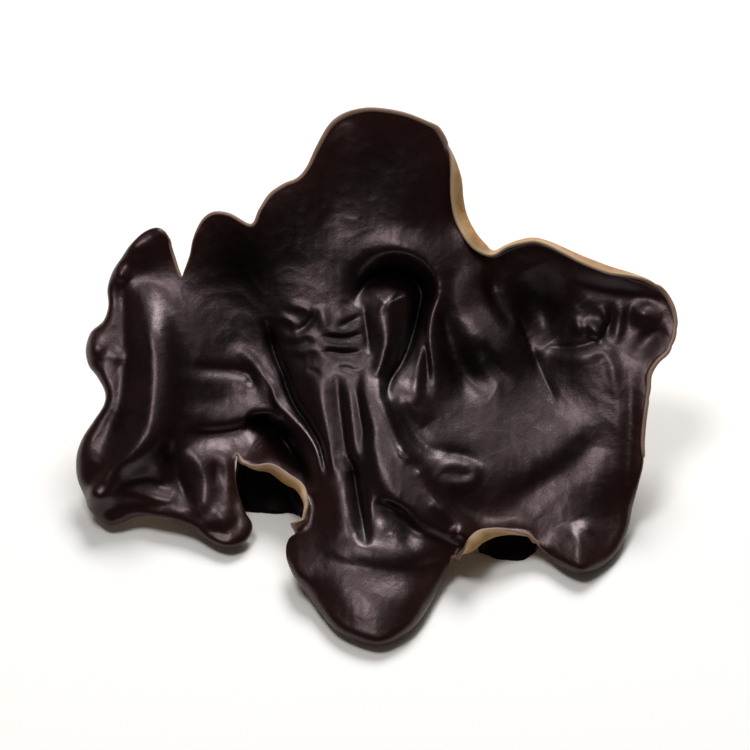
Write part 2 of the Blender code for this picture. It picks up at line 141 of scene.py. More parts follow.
# Each fold: places along it (across, up, how far it stands out or sinks in, half width, in mm), how much wider
# it runs on its left-hand and on its right-hand side, and its profile, under ROUNDED for a crease and over it for
# a flat top
ROUNDED = 2
FOLDS = {
    "main ridge": ([(-0.9, 0.4, 0, 0.8), (-0.8, -1.4, 0.55, 1.2), (-0.6, -3.2, 0.75, 1.25),
        (0, -5.2, 0.85, 1.4), (0.5, -7.4, 0.95, 1.8), (1.5, -9.6, 1, 2.3), (2.5, -11.4, 1, 2.3),
        (4.4, -13.4, 0.95, 1.9), (6.6, -14.9, 0.9, 1.5), (8.2, -15.8, 0.7, 1.2), (9.2, -16.8, 0.4, 1)
        ], 1, 1, 4),
    "ridge crest": ([(0.2, -1.4, 0, 0.5), (0.6, -3.4, 0.15, 0.5), (1.2, -5.4, 0.2, 0.5),
        (2.2, -7.6, 0.25, 0.6), (3.4, -9.3, 0.25, 0.6), (4.6, -11, 0.25, 0.6), (5.6, -12.8, 0.25, 0.7),
        (7, -14.3, 0.3, 0.8), (8.3, -15.3, 0.35, 0.9), (9.2, -16.4, 0, 0.8)], 1, 1),
    "ridge knob a": ([(2.2, -7.9, 0.24, 0.5), (2.8, -8.4, 0.24, 0.5)], 1, 1),
    "ridge knob b": ([(4.1, -10, 0.27, 0.5), (4.6, -10.6, 0.24, 0.5)], 1, 1),
    "ridge knob c": ([(5.6, -13, 0.19, 0.6), (6.1, -13.5, 0.22, 0.6)], 1, 1),
    "ridge knob d": ([(7.9, -16, 0.8, 0.75), (8.7, -16.4, 0.8, 0.75)], 1, 1),
    "groove left of the ridge": ([(-3, -8.2, 0, 0.6), (-2.6, -10, -1.2, 0.75), (-2.3, -12, -1.5, 0.8),
        (-1.9, -14, -1.4, 0.75), (-1.5, -16.2, -0.8, 0.6), (-1.4, -17.2, 0, 0.5)], 1, 1, 1.6),
    "pool under the ridge": ([(-0.8, -13.2, 0, 0.8), (0.8, -13.9, -0.47, 1.03), (2.4, -14.8, -0.67, 1.26),
        (2.8, -16.2, -0.49, 1.15), (2.2, -17.2, 0, 0.92)], 1, 1),
    "pool edge": ([(-0.8, -13, 0, 0.36), (0.4, -13.1, -0.2, 0.36), (1.8, -13.6, -0.18, 0.36),
        (3, -14.5, 0, 0.36)], 1, 1),
    "bump in the pool": ([(-0.2, -14.6, 0, 0.7), (0, -15.5, 0.14, 0.84), (-0.4, -16.6, 0, 0.84)], 1, 1),
    "lobe ridge": ([(-3.6, -16, 0, 1.04), (-1.8, -17.1, 0.25, 1.17), (1, -17.8, 0.34, 1.3),
        (4, -17.9, 0.34, 1.3), (6.8, -17.2, 0.21, 1.17)], 1, 1),
    "lobe crease": ([(-7.6, -17, 0, 1.04), (-5.2, -18.6, -0.31, 1.17), (-2, -19.5, -0.43, 1.3),
        (2, -19.9, -0.43, 1.3), (5.4, -19.3, -0.27, 1.17), (6.4, -18.6, 0, 1.04)], 0.8, 1.6),
    "lobe left valley": ([(-6.4, -12, 0, 1.3), (-6, -14.5, -0.28, 1.56), (-5.6, -17, -0.23, 1.56),
        (-5.4, -18.6, 0, 1.3)], 1, 1),
    "lobe left ridge": ([(-4, -10.8, 0, 0.78), (-3.9, -12.6, 0.23, 0.91), (-3.6, -14.6, 0.23, 0.91),
        (-3, -16.2, 0, 0.91)], 1, 1.3),
    "lip of the pucker": ([(-2.6, 9.6, 0, 0.9), (-1.6, 11, 0.15, 1), (-0.2, 11.9, 0.4, 1),
        (1.6, 12.2, 0.75, 1), (3.6, 11.7, 0.95, 0.95), (5.1, 10.5, 0.95, 0.85), (5.7, 9, 0.85, 0.7),
        (5.5, 7.2, 0.75, 0.58), (5, 5.2, 0.7, 0.52), (5, 3, 0.6, 0.52), (5.3, 1, 0.45, 0.6),
        (5.6, -1, 0.2, 0.7), (5.6, -3, 0, 0.8)], 1.8, 0.8),
    "pucker": ([(-2.7, 6.6, 0, 0.8), (-2, 8, -1.1, 1.1), (-0.9, 9.2, -2, 1.35), (1.2, 9.8, -2.7, 1.4),
        (3.2, 9.3, -3, 1.25), (4.1, 8, -3, 1.05), (3.9, 6.4, -2.7, 0.85), (3.5, 4.6, -2.2, 0.7),
        (2.9, 2.6, -1.5, 0.6), (2.1, 0.8, -1, 0.5), (1.2, -0.6, -0.7, 0.45), (0.7, -2, -0.3, 0.4),
        (0.8, -3, 0, 0.4)], 1, 1, 1.5),
    "tongue": ([(1.6, 8.8, 0, 0.8), (0.9, 7.4, 0.8, 1.3), (0.6, 5.9, 0.95, 1.4), (0.7, 4.3, 0.95, 1.15),
        (0.7, 3, 0.85, 0.85), (0.4, 1.7, 0.75, 0.65), (0.1, 0.6, 0.6, 0.6), (-0.3, -0.6, 0, 0.5)], 0.8, 1.2),
    "tongue wrinkle a": ([(2, 8.4, 0, 0.36), (1.2, 7.5, 0.15, 0.42), (0.3, 6.6, 0.13, 0.42),
        (-0.4, 5.4, 0, 0.36)], 1, 1),
    "valley left of the tongue": ([(-1.9, 7.4, 0, 0.5), (-1.6, 6, -0.25, 0.5), (-1.4, 4.4, -0.3, 0.45),
        (-1.2, 2.8, -0.3, 0.4), (-0.9, 1.6, 0, 0.35)], 1, 1, 1.6),
    "lid left ridge": ([(4.3, 3.6, 0, 0.35), (4.1, 2, 0.26, 0.4), (3.8, 0.4, 0.3, 0.45),
        (3.6, -1.4, 0.31, 0.5), (3.7, -3.4, 0, 0.6)], 1, 1),
    "lid": ([(2.3, -0.8, 0, 0.7), (3.2, -2.3, 0.5, 1.2), (3.9, -3.7, 0.45, 1.3), (4.8, -5.2, 0, 1.3)], 1, 1),
    "lid groove": ([(4.6, 2.6, 0, 0.25), (4.7, 1, -0.21, 0.25), (4.7, -0.8, -0.17, 0.3), (4.6, -2.2, 0, 0.3)
        ], 1, 1, 1.4),
    "valley right of the lid": ([(6.3, 7.4, 0, 0.6), (6.4, 5.2, -0.7, 0.8), (6.9, 3.2, -1.1, 1),
        (7.5, 1.4, -1.35, 1.3), (8.3, -0.1, -1.15, 1.35), (9.6, -1.2, -0.6, 1.4), (11.2, -2.2, 0, 1.4)
        ], 1.6, 0.9),
    "dark side of the ridge": ([(1.4, -2.6, 0, 0.6), (2.6, -4.6, -0.5, 0.8), (3.8, -6.4, -0.6, 0.9),
        (5, -7.6, -0.4, 0.8), (6.2, -8.4, 0, 0.7)], 1.3, 0.8),
    "dish crease": ([(4.8, -7.4, 0, 0.5), (6.4, -7.9, -0.35, 0.6), (8, -8.2, -0.4, 0.6),
        (9.6, -8.7, -0.28, 0.6), (11.2, -9.3, 0, 0.6)], 1.2, 0.9, 1.6),
    "dish curl": ([(5.6, -9.9, 0, 0.5), (6.6, -9.3, 0.16, 0.55), (8, -9.2, 0.2, 0.6),
        (9.3, -9.8, 0.2, 0.55), (9.2, -10.7, 0.22, 0.6), (8, -11.1, 0.22, 0.6), (6.8, -10.9, 0.15, 0.55),
        (6.1, -10.3, 0, 0.5)], 1, 1),
    "under the curl": ([(4.8, -11.4, 0, 0.96), (6.6, -12.4, -0.31, 1.08), (8.6, -13.3, -0.4, 1.2),
        (11, -14.2, -0.32, 1.2), (14, -14.9, 0, 1.08)], 1.4, 0.8),
    "arch lip": ([(9.6, -15.2, 0, 0.6), (11.4, -15, 0.14, 0.6), (13.5, -15, 0.14, 0.6),
        (15.5, -15.7, 0.09, 0.6), (16.4, -16.8, 0, 0.6)], 1, 1),
    "dome": ([(18.8, -14.9, 0, 2), (19.4, -16.6, 0.9, 2.2), (19.8, -18.2, 1.3, 2.2), (19.9, -19.8, 1, 2)
        ], 1, 1),
    "dome crest": ([(18.7, -15.2, 0, 0.5), (19.2, -16, 0.12, 0.5), (19.7, -17.2, 0.16, 0.5),
        (19.4, -18.6, 0, 0.5)], 1, 1),
    "dome wrinkle": ([(19.4, -15.3, 0, 0.4), (20.4, -15.5, 0.17, 0.4), (21.2, -16.2, 0, 0.4)], 1, 1),
    "right diagonal": ([(23, -5, 0, 1.2), (19.8, -8.4, -0.48, 1.5), (16.8, -10.6, -0.57, 1.6),
        (13.6, -12.6, -0.3, 1.4), (12, -13.6, 0, 1.2)], 1, 1),
    "right plane": ([(22.5, -7.6, 0, 1.6), (22, -11, 0.39, 1.8), (22.2, -14.4, 0, 1.6)], 1, 1),
    "right edge valley": ([(25, 0.6, 0, 0.65), (25.1, -3, -0.27, 0.65), (24.9, -7, -0.29, 0.65),
        (24.6, -11, -0.31, 0.72), (24.4, -13.4, 0, 0.65)], 1, 1.3),
    "upper hollow": ([(14.5, 10.2, -0.5, 2), (15.5, 7.4, -1.5, 2.5), (16.4, 5, -1.5, 2.3),
        (17.6, 3.4, -0.4, 1.6)], 1, 1),
    "hollow crease": ([(13.4, 6.6, 0, 0.72), (14.4, 4.2, -0.37, 0.72), (15.2, 2.2, -0.46, 0.78),
        (16, 0.2, -0.41, 0.72), (17, -2, -0.3, 0.6), (17.8, -3.8, 0, 0.48)], 1, 1, 1.4),
    "hollow lower lip": ([(16.8, 1.5, 0, 0.59), (18.6, 1.5, 0.2, 0.65), (20.4, 1.7, 0.22, 0.65),
        (22.2, 2.1, 0.24, 0.65), (23.1, 1, 0.21, 0.59), (23.4, -0.6, 0.19, 0.59), (23.6, -2.8, 0, 0.65)
        ], 1, 1.2),
    "crease over the lip": ([(16.4, 2.5, 0, 0.45), (18.6, 2.4, -0.29, 0.52), (20.6, 2.7, -0.3, 0.52),
        (22.2, 3.5, -0.3, 0.52), (23, 5, -0.25, 0.45), (23.4, 7, 0, 0.45)], 1, 1, 1.4),
    "knuckle a": ([(20.4, 5.2, 0, 0.55), (21.4, 4.3, 0.5, 0.66), (21.9, 3.5, 0.45, 0.6),
        (21.6, 2.8, 0, 0.44)], 1, 1),
    "knuckle b": ([(22.1, 6.8, 0, 0.39), (22.6, 5.6, 0.23, 0.39), (22.6, 4.7, 0, 0.33)], 1, 1),
    "knuckle c": ([(19.3, 5.4, 0, 0.55), (19.9, 4.5, 0.29, 0.55), (19.7, 3.5, 0, 0.44)], 1, 1),
    "ridge behind the knuckles": ([(24.3, 7.2, 0, 0.54), (24, 5.4, 0.25, 0.6), (23.7, 3.8, 0.22, 0.54),
        (23.5, 2.6, 0, 0.48)], 1, 1),
    "corner plane": ([(25, 6.2, 0, 0.8), (26.4, 5.7, 0.55, 1), (28.2, 5.2, 0, 0.8)], 1, 1),
    "corner hollow": ([(28.8, 4.2, 0, 0.72), (27.4, 3.6, -0.43, 0.96), (26.2, 2.4, -0.36, 0.96),
        (25.4, 1.2, 0, 0.72)], 1, 1),
    "under the top rim": ([(18.6, 9.8, 0, 1.04), (21, 8.6, -0.37, 1.04), (24, 8, -0.41, 1.04),
        (27, 7.4, -0.34, 0.91), (28.8, 6.6, 0, 0.78)], 1, 1),
    "dish streak b": ([(10, 3, 0, 0.65), (11, 1.4, -0.3, 0.65), (12, 0, -0.3, 0.65), (13, -1.8, 0, 0.65)
        ], 1, 1),
    "dish light patch": ([(9.4, 6.2, 0, 1.17), (10.6, 4.6, 0.15, 1.43), (12.6, 3, 0.15, 1.3),
        (14, 1.4, 0, 1.04)], 1, 1),
    "shoulder": ([(9.5, 11, 0, 0.98), (8.9, 9.4, 0.15, 1.2), (8, 7.6, 0.15, 1.2), (7.2, 6, 0, 0.9)], 1, 1),
    "shoulder hollow": ([(11.6, 11.2, 0, 0.7), (11.3, 9.2, -0.59, 0.9), (11.6, 7.4, -0.59, 0.9),
        (12.6, 5.6, -0.44, 0.8), (13.4, 4.2, 0, 0.6)], 1, 1),
    "pleat a": ([(-6, 1.9, 0, 0.29), (-5, 2, -0.22, 0.42), (-3.8, 1.8, -0.26, 0.44),
        (-2.4, 1.9, -0.24, 0.42), (-1.5, 2.2, 0, 0.29)], 1, 1, 1.4),
    "pleat b": ([(-6.1, 3.6, 0, 0.3), (-5, 3.4, -0.22, 0.36), (-3.6, 3.3, -0.22, 0.36),
        (-2.4, 3.6, -0.22, 0.36), (-1.7, 3.8, 0, 0.26)], 1, 1, 1.4),
    "pleat c": ([(-4.3, 4.5, 0, 0.3), (-3.4, 4.8, -0.24, 0.38), (-2.6, 5.2, -0.22, 0.38),
        (-1.9, 5.7, 0, 0.3)], 1, 1, 1.4),
    "pleat d": ([(-4.7, 0.2, 0, 0.26), (-3.5, 0.4, -0.17, 0.3), (-2.4, 0.1, -0.15, 0.3),
        (-1.5, 0.4, 0, 0.26)], 1, 1, 1.4),
    "pleat e": ([(-4, 7.2, 0, 0.3), (-3.1, 6.7, -0.21, 0.34), (-2.3, 6.2, 0, 0.3)], 1, 1, 1.4),
    "crest a": ([(-6.2, 2.7, 0, 0.4), (-4.6, 2.6, 0.06, 0.45), (-3, 2.6, 0.06, 0.45), (-1.6, 2.9, 0, 0.4)
        ], 1, 1),
    "crest b": ([(-6, 4.3, 0, 0.4), (-4.2, 4, 0.05, 0.45), (-2.6, 4.3, 0.06, 0.45), (-1.6, 4.6, 0, 0.4)
        ], 1, 1),
    "wrinkle a": ([(-9.8, 6.3, 0, 0.45), (-8.4, 6.6, 0.15, 0.52), (-7.3, 6.3, 0.17, 0.45),
        (-6.6, 5.4, 0, 0.39)], 1, 1),
    "wrinkle b": ([(-10.8, 5.2, 0, 0.45), (-9.7, 5.4, 0.17, 0.45), (-8.7, 4.9, 0.17, 0.45),
        (-8.6, 4, 0, 0.39)], 1, 1),
    "wrinkle c": ([(-6.4, 6.4, 0, 0.33), (-6.8, 5.4, -0.21, 0.36), (-7.6, 4.4, -0.2, 0.36),
        (-8.4, 3.8, 0, 0.33)], 1, 1),
    "wrinkle d": ([(-5.9, 6.8, 0, 0.59), (-5.6, 5.4, 0.18, 0.65), (-5.5, 4, 0, 0.59)], 1, 1),
    "wrinkle e": ([(-10, 3.9, 0, 0.45), (-8.7, 3.4, 0.17, 0.49), (-7.3, 3.8, 0.16, 0.45), (-6.2, 3, 0, 0.39)
        ], 1, 1),
    "wrinkle f": ([(-9.6, 2.1, 0, 0.45), (-8.2, 2, 0.17, 0.52), (-6.8, 2.3, 0.12, 0.45), (-6, 1.8, 0, 0.39)
        ], 1, 1),
    "wrinkle g": ([(-7.4, 0.3, 0, 0.29), (-6.5, 0, -0.17, 0.33), (-5.7, -0.5, 0, 0.29)], 1, 1),
    "left crease": ([(-11.6, 5.4, 0, 0.5), (-11, 3.4, -1, 0.55), (-10.5, 1.6, -1, 0.5), (-9.8, 0, -1, 0.45),
        (-9.2, -1.8, -1.2, 0.45), (-8.3, -3.6, -1.1, 0.45), (-7.1, -5.3, -1, 0.4), (-6.1, -7, -0.9, 0.35),
        (-5.5, -9, -0.6, 0.3), (-5.3, -10.4, 0, 0.3)], 1, 1, 1.4),
    "wing edge": ([(-12, 0.2, 0, 0.3), (-10.9, -1.2, 0.26, 0.35), (-10.3, -3, 0.43, 0.35),
        (-9, -4.4, 0.44, 0.35), (-7.7, -5.8, 0.44, 0.35), (-6.6, -7.4, 0.43, 0.35), (-6.05, -9, 0.33, 0.3),
        (-5.9, -10, 0, 0.3)], 1, 1),
    "hollow of the left notch": ([(-13.4, -4.6, 0, 0.8), (-11.4, -5.3, -2, 1.1), (-9.6, -6.8, -3.2, 1.5),
        (-8.4, -8.6, -3.2, 1.5), (-7.5, -10.2, -2, 1.1), (-6.8, -12, 0, 0.8)], 0.7, 1.3, 1.6),
    "second fold": ([(-7, 1, 0, 1.2), (-6.4, -1, 0.4, 1.4), (-6, -3, 0.5, 1.2), (-5.5, -5, 0.5, 1),
        (-5.1, -7, 0.5, 0.8), (-4.8, -8.8, 0.4, 0.65), (-4.6, -10.4, 0, 0.6)], 0.8, 1.1),
    "second valley": ([(-4.3, 0, 0, 0.6), (-4.2, -1.8, -0.35, 0.7), (-4, -3.6, -0.5, 0.75),
        (-3.8, -5.2, -0.55, 0.7), (-3.6, -6.8, -0.55, 0.65), (-3.3, -8.4, -0.5, 0.6), (-3, -9.8, 0, 0.6)
        ], 1, 1, 1.8),
    "third fold": ([(-3.3, -1, 0, 0.5), (-3, -3, 0.12, 0.6), (-2.8, -5, 0.12, 0.6),
        (-2.5, -7, 0.1, 0.55), (-2.4, -8.6, 0, 0.5)], 1, 1),
    "third valley": ([(-2.5, -1.6, 0, 0.4), (-2.1, -3, -0.22, 0.5), (-1.9, -4.6, -0.28, 0.55),
        (-1.7, -6.2, -0.25, 0.55), (-1.7, -7.8, 0, 0.5)], 1, 1, 1.8),
    "wing crest": ([(-23.8, 9, 0, 1), (-23, 6.4, 0.5, 1.3), (-22.3, 3.4, 1, 1.5), (-22, 0, 1.15, 1.6),
        (-22.1, -3, 1.15, 1.6), (-22.6, -6, 1.1, 1.55), (-24.2, -8.2, 1, 1.35), (-26.2, -10, 0.9, 1.15),
        (-27.9, -11.8, 0.9, 1), (-28.7, -12.9, 0.8, 0.9)], 1.2, 1, 2.6),
    "wing outer valley": ([(-26.2, 9.4, 0, 0.9), (-25.9, 6.8, -0.7, 1.1), (-25.7, 3.4, -0.8, 1.2),
        (-25.7, 0, -0.8, 1.2), (-26, -3, -0.8, 1.2), (-27, -6, -0.7, 1.3), (-28.2, -9, 0, 1.1)], 1, 1),
    "left knob": ([(-28.3, 4, 0, 0.9), (-28.5, 2.5, 0.49, 1), (-28.3, 1, 0, 0.9)], 1, 1),
    "left knob foot": ([(-27.4, 2, 0, 0.7), (-26.2, 1.6, 0.27, 0.8), (-25.2, 1.2, 0, 0.7)], 1, 1),
    "upper knob": ([(-27, 10.6, 0, 0.7), (-26.1, 9.8, 0.44, 0.8), (-25.3, 9, 0, 0.7)], 1, 1),
    "oval top": ([(-20.6, 0, 0, 0.65), (-18.9, -0.7, 0.13, 0.72), (-16.8, -1, 0.08, 0.78),
        (-14.6, -1.1, 0.06, 0.78), (-12.8, -1.9, 0.08, 0.65), (-11.9, -3.2, 0, 0.65)], 1, 1),
    "oval shade": ([(-19.4, 0.7, 0, 0.52), (-17, 0.3, -0.27, 0.65), (-15, 0.1, -0.27, 0.65),
        (-13.2, -0.3, -0.22, 0.59), (-12.2, -0.8, 0, 0.52)], 1, 1),
    "oval pit": ([(-13.6, -0.9, 0, 0.36), (-12.8, -1, -0.24, 0.42), (-12.1, -1.1, 0, 0.36)], 1, 1),
    "oval middle": ([(-19.8, -2.2, 0, 0.84), (-17.4, -2.9, -0.12, 0.96), (-15.4, -2.8, -0.12, 0.96),
        (-13.6, -2.2, 0, 0.84)], 1, 1),
    "oval lower edge": ([(-20.8, -3.2, 0, 0.65), (-18.2, -4.4, 0.08, 0.9), (-15.6, -4.6, 0.08, 0.9),
        (-13.6, -4, 0.08, 0.8), (-12.2, -2.8, 0, 0.65)], 1, 1),
    "wing right ridge": ([(-15.4, 2.6, 0, 0.65), (-13.5, 1.7, 0.27, 0.65), (-12.2, 0.4, 0.27, 0.59),
        (-11.5, -1.4, 0.27, 0.59), (-11.3, -3.2, 0, 0.52)], 1, 1.3),
    "under the oval": ([(-19.6, -6, 0, 0.7), (-17.2, -6.2, -0.69, 0.9), (-14.6, -6, -0.76, 0.9),
        (-12.4, -5.2, -0.7, 0.8), (-10.4, -4.4, 0, 0.6)], 0.8, 1.5),
    "lower valley": ([(-21.2, -6.4, 0, 0.84), (-20.8, -8.4, -0.59, 0.96), (-20.2, -10.4, -0.59, 0.9),
        (-19.6, -12, -0.51, 0.84), (-19, -13.6, 0, 0.72)], 1, 1),
    "lower ridge": ([(-19, -7.4, 0, 0.84), (-17.9, -9, 0.37, 0.96), (-17.2, -11, 0.42, 0.96),
        (-17.6, -13, 0.41, 0.96), (-18.6, -14.6, 0, 0.84)], 1, 1),
    "dimple": ([(-16.5, -8.6, 0, 0.45), (-16.4, -10, -0.27, 0.55), (-16.2, -11.4, 0, 0.45)], 1, 1, 1.4),
    "flap ridge": ([(-15.9, -7.4, 0, 0.59), (-15.2, -9.4, 0.23, 0.65), (-14.9, -11.4, 0.22, 0.65),
        (-15.2, -13.2, 0, 0.59)], 1, 1),
    "flap hollow": ([(-14.7, -11.4, 0, 0.59), (-14.4, -13.2, -0.33, 0.65), (-14.2, -14.8, -0.33, 0.65),
        (-14.7, -16, 0, 0.59)], 1, 1),
    "flap dents": ([(-17.8, -15.2, 0, 0.52), (-16.7, -15.8, -0.29, 0.65), (-15.6, -16.2, -0.22, 0.59),
        (-14.8, -16.4, 0, 0.52)], 1, 1),
    "flap bump": ([(-16.4, -13, 0, 0.52), (-15.6, -14.4, 0.19, 0.59), (-14.9, -15.4, 0, 0.52)], 1, 1),
    "corner knob": ([(-28.5, -12.2, 0.55, 0.9), (-27.7, -12.6, 0.55, 0.9)], 1, 1),
    "corner valley": ([(-27.2, -11, 0, 0.94), (-25.4, -10.4, -0.52, 1.08), (-23.6, -10.6, -0.62, 1.22),
        (-22, -11.4, -0.52, 1.08), (-20.6, -12.2, 0, 0.81)], 1, 1.3),
    "corner ridge": ([(-28.2, -13.8, 0, 0.75), (-26.9, -12.9, 0.23, 0.75), (-25.2, -12.1, 0.24, 0.75),
        (-23.4, -12.1, 0.24, 0.75), (-21.6, -12.6, 0.2, 0.68), (-20.2, -13, 0, 0.6)], 1, 1),
    "corner hem": ([(-25.6, -13.1, 0, 0.49), (-24, -13.4, -0.14, 0.53), (-22, -13.4, -0.14, 0.53),
        (-20.4, -13.2, 0, 0.49)], 1, 1),
    "back furrow": ([(-3.4, 24.6, 0, 1.4), (-4.6, 20, -0.35, 1.8), (-4.8, 16, -0.4, 1.9),
        (-5.2, 12.4, 0, 1.8)], 1, 1),
    "back swell": ([(2.2, 24, 0, 2.2), (3, 19, 0.29, 2.6), (2.8, 14.4, 0, 2.2)], 1, 1),
}


def closed_curve(marks, step):
    """A smooth closed curve through the marks, cut into equal lengths of about one step."""
    marks = np.array(marks, float)
    part = np.linspace(0, 1, 32, endpoint=False)[:, None]
    pieces = []
    for i, start in enumerate(marks):
        before, end, after = marks[i - 1], marks[(i + 1) % len(marks)], marks[(i + 2) % len(marks)]
        bend = 2 * before - 5 * start + 4 * end - after
        pieces.append(0.5 * (2 * start + (end - before) * part + bend * part**2
                             + (3 * start - before - 3 * end + after) * part**3))
    curve = np.concatenate(pieces + [pieces[0][:1]])
    length = np.concatenate([[0], np.cumsum(np.linalg.norm(np.diff(curve[:, :2], axis=0), axis=1))])
    count = round(length[-1] / step)
    wanted = np.arange(count) * length[-1] / count
    return np.column_stack([np.interp(wanted, length, column) for column in curve.T])


def in_blocks(work, points, size=4000):
    """Runs a function on a few thousand places at a time, which keeps its tables small."""
    return np.concatenate([work(points[i:i + size]) for i in range(0, len(points), size)])


def bending_sheet(marks):
    """The surface through the marks that bends least, as a function of across and up."""
    marks = np.array(marks, float)
    places = marks[:, :2]
    count = len(marks)

    def pull(points):
        square = ((points[:, None] - places[None]) ** 2).sum(-1)
        return 0.5 * square * np.log(np.maximum(square, 1e-12))

    flat = np.column_stack([np.ones(count), places])
    system = np.block([[pull(places), flat], [flat.T, np.zeros((3, 3))]])
    weights = np.linalg.solve(system, np.concatenate([marks[:, 2], np.zeros(3)]))

    def height(points):
        return pull(points) @ weights[:count] + weights[count] + points @ weights[count + 1:]

    return height


def eased_path(path, per=4):
    """A smooth path through given points, with what goes with each of them."""
    path = np.array(path, float)
    ends = np.vstack([2 * path[0] - path[1], path, 2 * path[-1] - path[-2]])
    part = np.linspace(0, 1, per, endpoint=False)[:, None]
    pieces = []
    for before, start, end, after in zip(ends[:-3], ends[1:-2], ends[2:-1], ends[3:]):
        bend = 2 * before - 5 * start + 4 * end - after
        pieces.append(0.5 * (2 * start + (end - before) * part + bend * part**2
                             + (3 * start - before - 3 * end + after) * part**3))
    return np.vstack(pieces + [path[-1:]])


def fold_lift(points, path, left, right, profile=ROUNDED):
    """How far one fold lifts each place: a rounded ridge or groove along the path, wider on one side if asked."""
    lifts = np.zeros(len(points))
    reach = 3.4 * path[:, 3].max() * max(left, right)
    low, high = path[:, :2].min(0) - reach, path[:, :2].max(0) + reach
    near = ((points > low) & (points < high)).all(1)
    some = points[near]
    if not len(some):
        return lifts
    best = np.full(len(some), np.inf)
    lift, width, side = np.zeros((3, len(some)))
    for start, end in zip(path[:-1], path[1:]):
        run = end[:2] - start[:2]
        part = np.clip((some - start[:2]) @ run / (run @ run), 0, 1)
        offset = some - start[:2] - part[:, None] * run
        away = np.hypot(*offset.T)
        closer = away < best
        best[closer] = away[closer]
        lift[closer] = (start[2] + (end[2] - start[2]) * part)[closer]
        width[closer] = (start[3] + (end[3] - start[3]) * part)[closer]
        side[closer] = (run[0] * offset[:, 1] - run[1] * offset[:, 0])[closer]
    width *= np.where(side > 0, left, right)
    lifts[near] = lift * np.exp(-(best / width) ** profile)
    return lifts


EASED = [(eased_path(path), *shape) for path, *shape in FOLDS.values()]


def relief(points):
    """How far the folds lift each place towards the front."""
    return sum(fold_lift(points, *fold) for fold in EASED)


# The same relief spread out, for the back of the sheet, which stays behind the deepest places of the front
GRID_STEP = 0.25
GRID_LOW = np.array([-33.0, -30.0])
GRID_SHAPE = (265, 241)
SPREAD = 4
DEEPEST = 2
HOLLOW_REACH = 5
HOLLOW_FULL = 0.8
# Across, up, radius and strength of spots of painted shade, where the front is darkened to near black and dulled
PAINTED_SHADE_SPOTS = [(-13.5, 11, 5, 1), (-9, 13.5, 4.5, 0.8), (-15, 6, 3, 0.5), (-4, 3, 2.4, 1), (8.4, 0.4, 2.2, 1),
            (15.4, 8, 2.6, 0.5), (-6.8, -15.5, 2.4, 0.5), (-26.6, -4.5, 2.2, 0.7), (-26.2, 5, 1.8, 0.5)]


def shifted(values, reach, merge):
    """A grid merged with itself moved by up to reach steps each way, one direction after the other."""
    for axis in (0, 1):
        moved = [np.roll(values, k, axis) for k in range(-reach, reach + 1)]
        values = merge(moved)
    return values


grid = np.stack(np.meshgrid(*(np.arange(n) for n in GRID_SHAPE), indexing="ij"), -1) * GRID_STEP + GRID_LOW
grid_relief = in_blocks(relief, grid.reshape(-1, 2), 20000).reshape(GRID_SHAPE)
deep_relief = shifted(grid_relief, DEEPEST, lambda moved: np.min(moved, axis=0))
soft_relief = np.minimum(deep_relief, shifted(deep_relief, SPREAD, lambda moved: np.mean(moved, axis=0)))
soft_relief = shifted(soft_relief, 1, lambda moved: np.mean(moved, axis=0))


def from_grid(values, points):
    """A grid's value at each place, between its nearest four."""
    spot = np.clip((points - GRID_LOW) / GRID_STEP, 0, np.array(GRID_SHAPE) - 2)
    cell = spot.astype(int)
    x, y = (spot - cell).T
    i, j = cell.T
    return ((1 - x) * (1 - y) * values[i, j] + x * (1 - y) * values[i + 1, j]
            + (1 - x) * y * values[i, j + 1] + x * y * values[i + 1, j + 1])


def crumple(points):
    """The leather's own low unevenness."""
    heights = []
    for x, y in points:
        ridged = 1 - abs(noise.noise(Vector((x * 0.5, y * 0.5, 2.0))))
        heights.append(0.10 * noise.noise(Vector((x * 0.22, y * 0.22, 4.0)))
                       + 0.03 * noise.noise(Vector((x * 0.7, y * 0.7, 9.0)))
                       + 0.025 * ridged**5
                       + 0.016 * noise.noise(Vector((x * 1.5, y * 0.32, 6.0)))
                       + 0.006 * noise.noise(Vector((x * 2.6, y * 2.6, 1.0))))
    return np.array(heights)


def inside(points, outline):
    """Which points lie within a closed outline."""
    x, y = points[:, 0], points[:, 1]
    crossed = np.zeros(len(points), bool)
    for (x0, y0), (x1, y1) in zip(outline, np.roll(outline, -1, axis=0)):
        if y0 != y1:
            between = (y0 > y) != (y1 > y)
            crossed ^= between & (x < x0 + (y - y0) * (x1 - x0) / (y1 - y0))
    return crossed


def clearance(points, others):
    """How far each point is from the nearest of the others."""
    def block(some):
        return np.sqrt(((some[:, None] - others[None]) ** 2).sum(-1).min(1))
    return in_blocks(block, points)


def lattice(outline, kept_off, step):
    """Evenly spread places within the outline, none of them close to its rows or to the rings inside it."""
    low, high = outline.min(0), outline.max(0)
    rows = []
    row_step = step * math.sqrt(3) / 2
    for i in range(int((high[1] - low[1]) / row_step) + 1):
        across = np.arange(low[0] + step / 2 * (i % 2), high[0], step)
        rows.append(np.column_stack([across, np.full(len(across), low[1] + i * row_step)]))
    points = np.concatenate(rows)
    points = points[inside(points, outline)]
    return points[clearance(points, kept_off) > 0.62 * step]


def blurred(values, reach):
    """Values around the rim, each averaged with its neighbours."""
    weights = np.hanning(2 * reach + 3)[1:-1]
    weights /= weights.sum()
    wrapped = np.concatenate([values[-reach:], values, values[:reach]])
    return np.convolve(wrapped, weights, mode="valid")


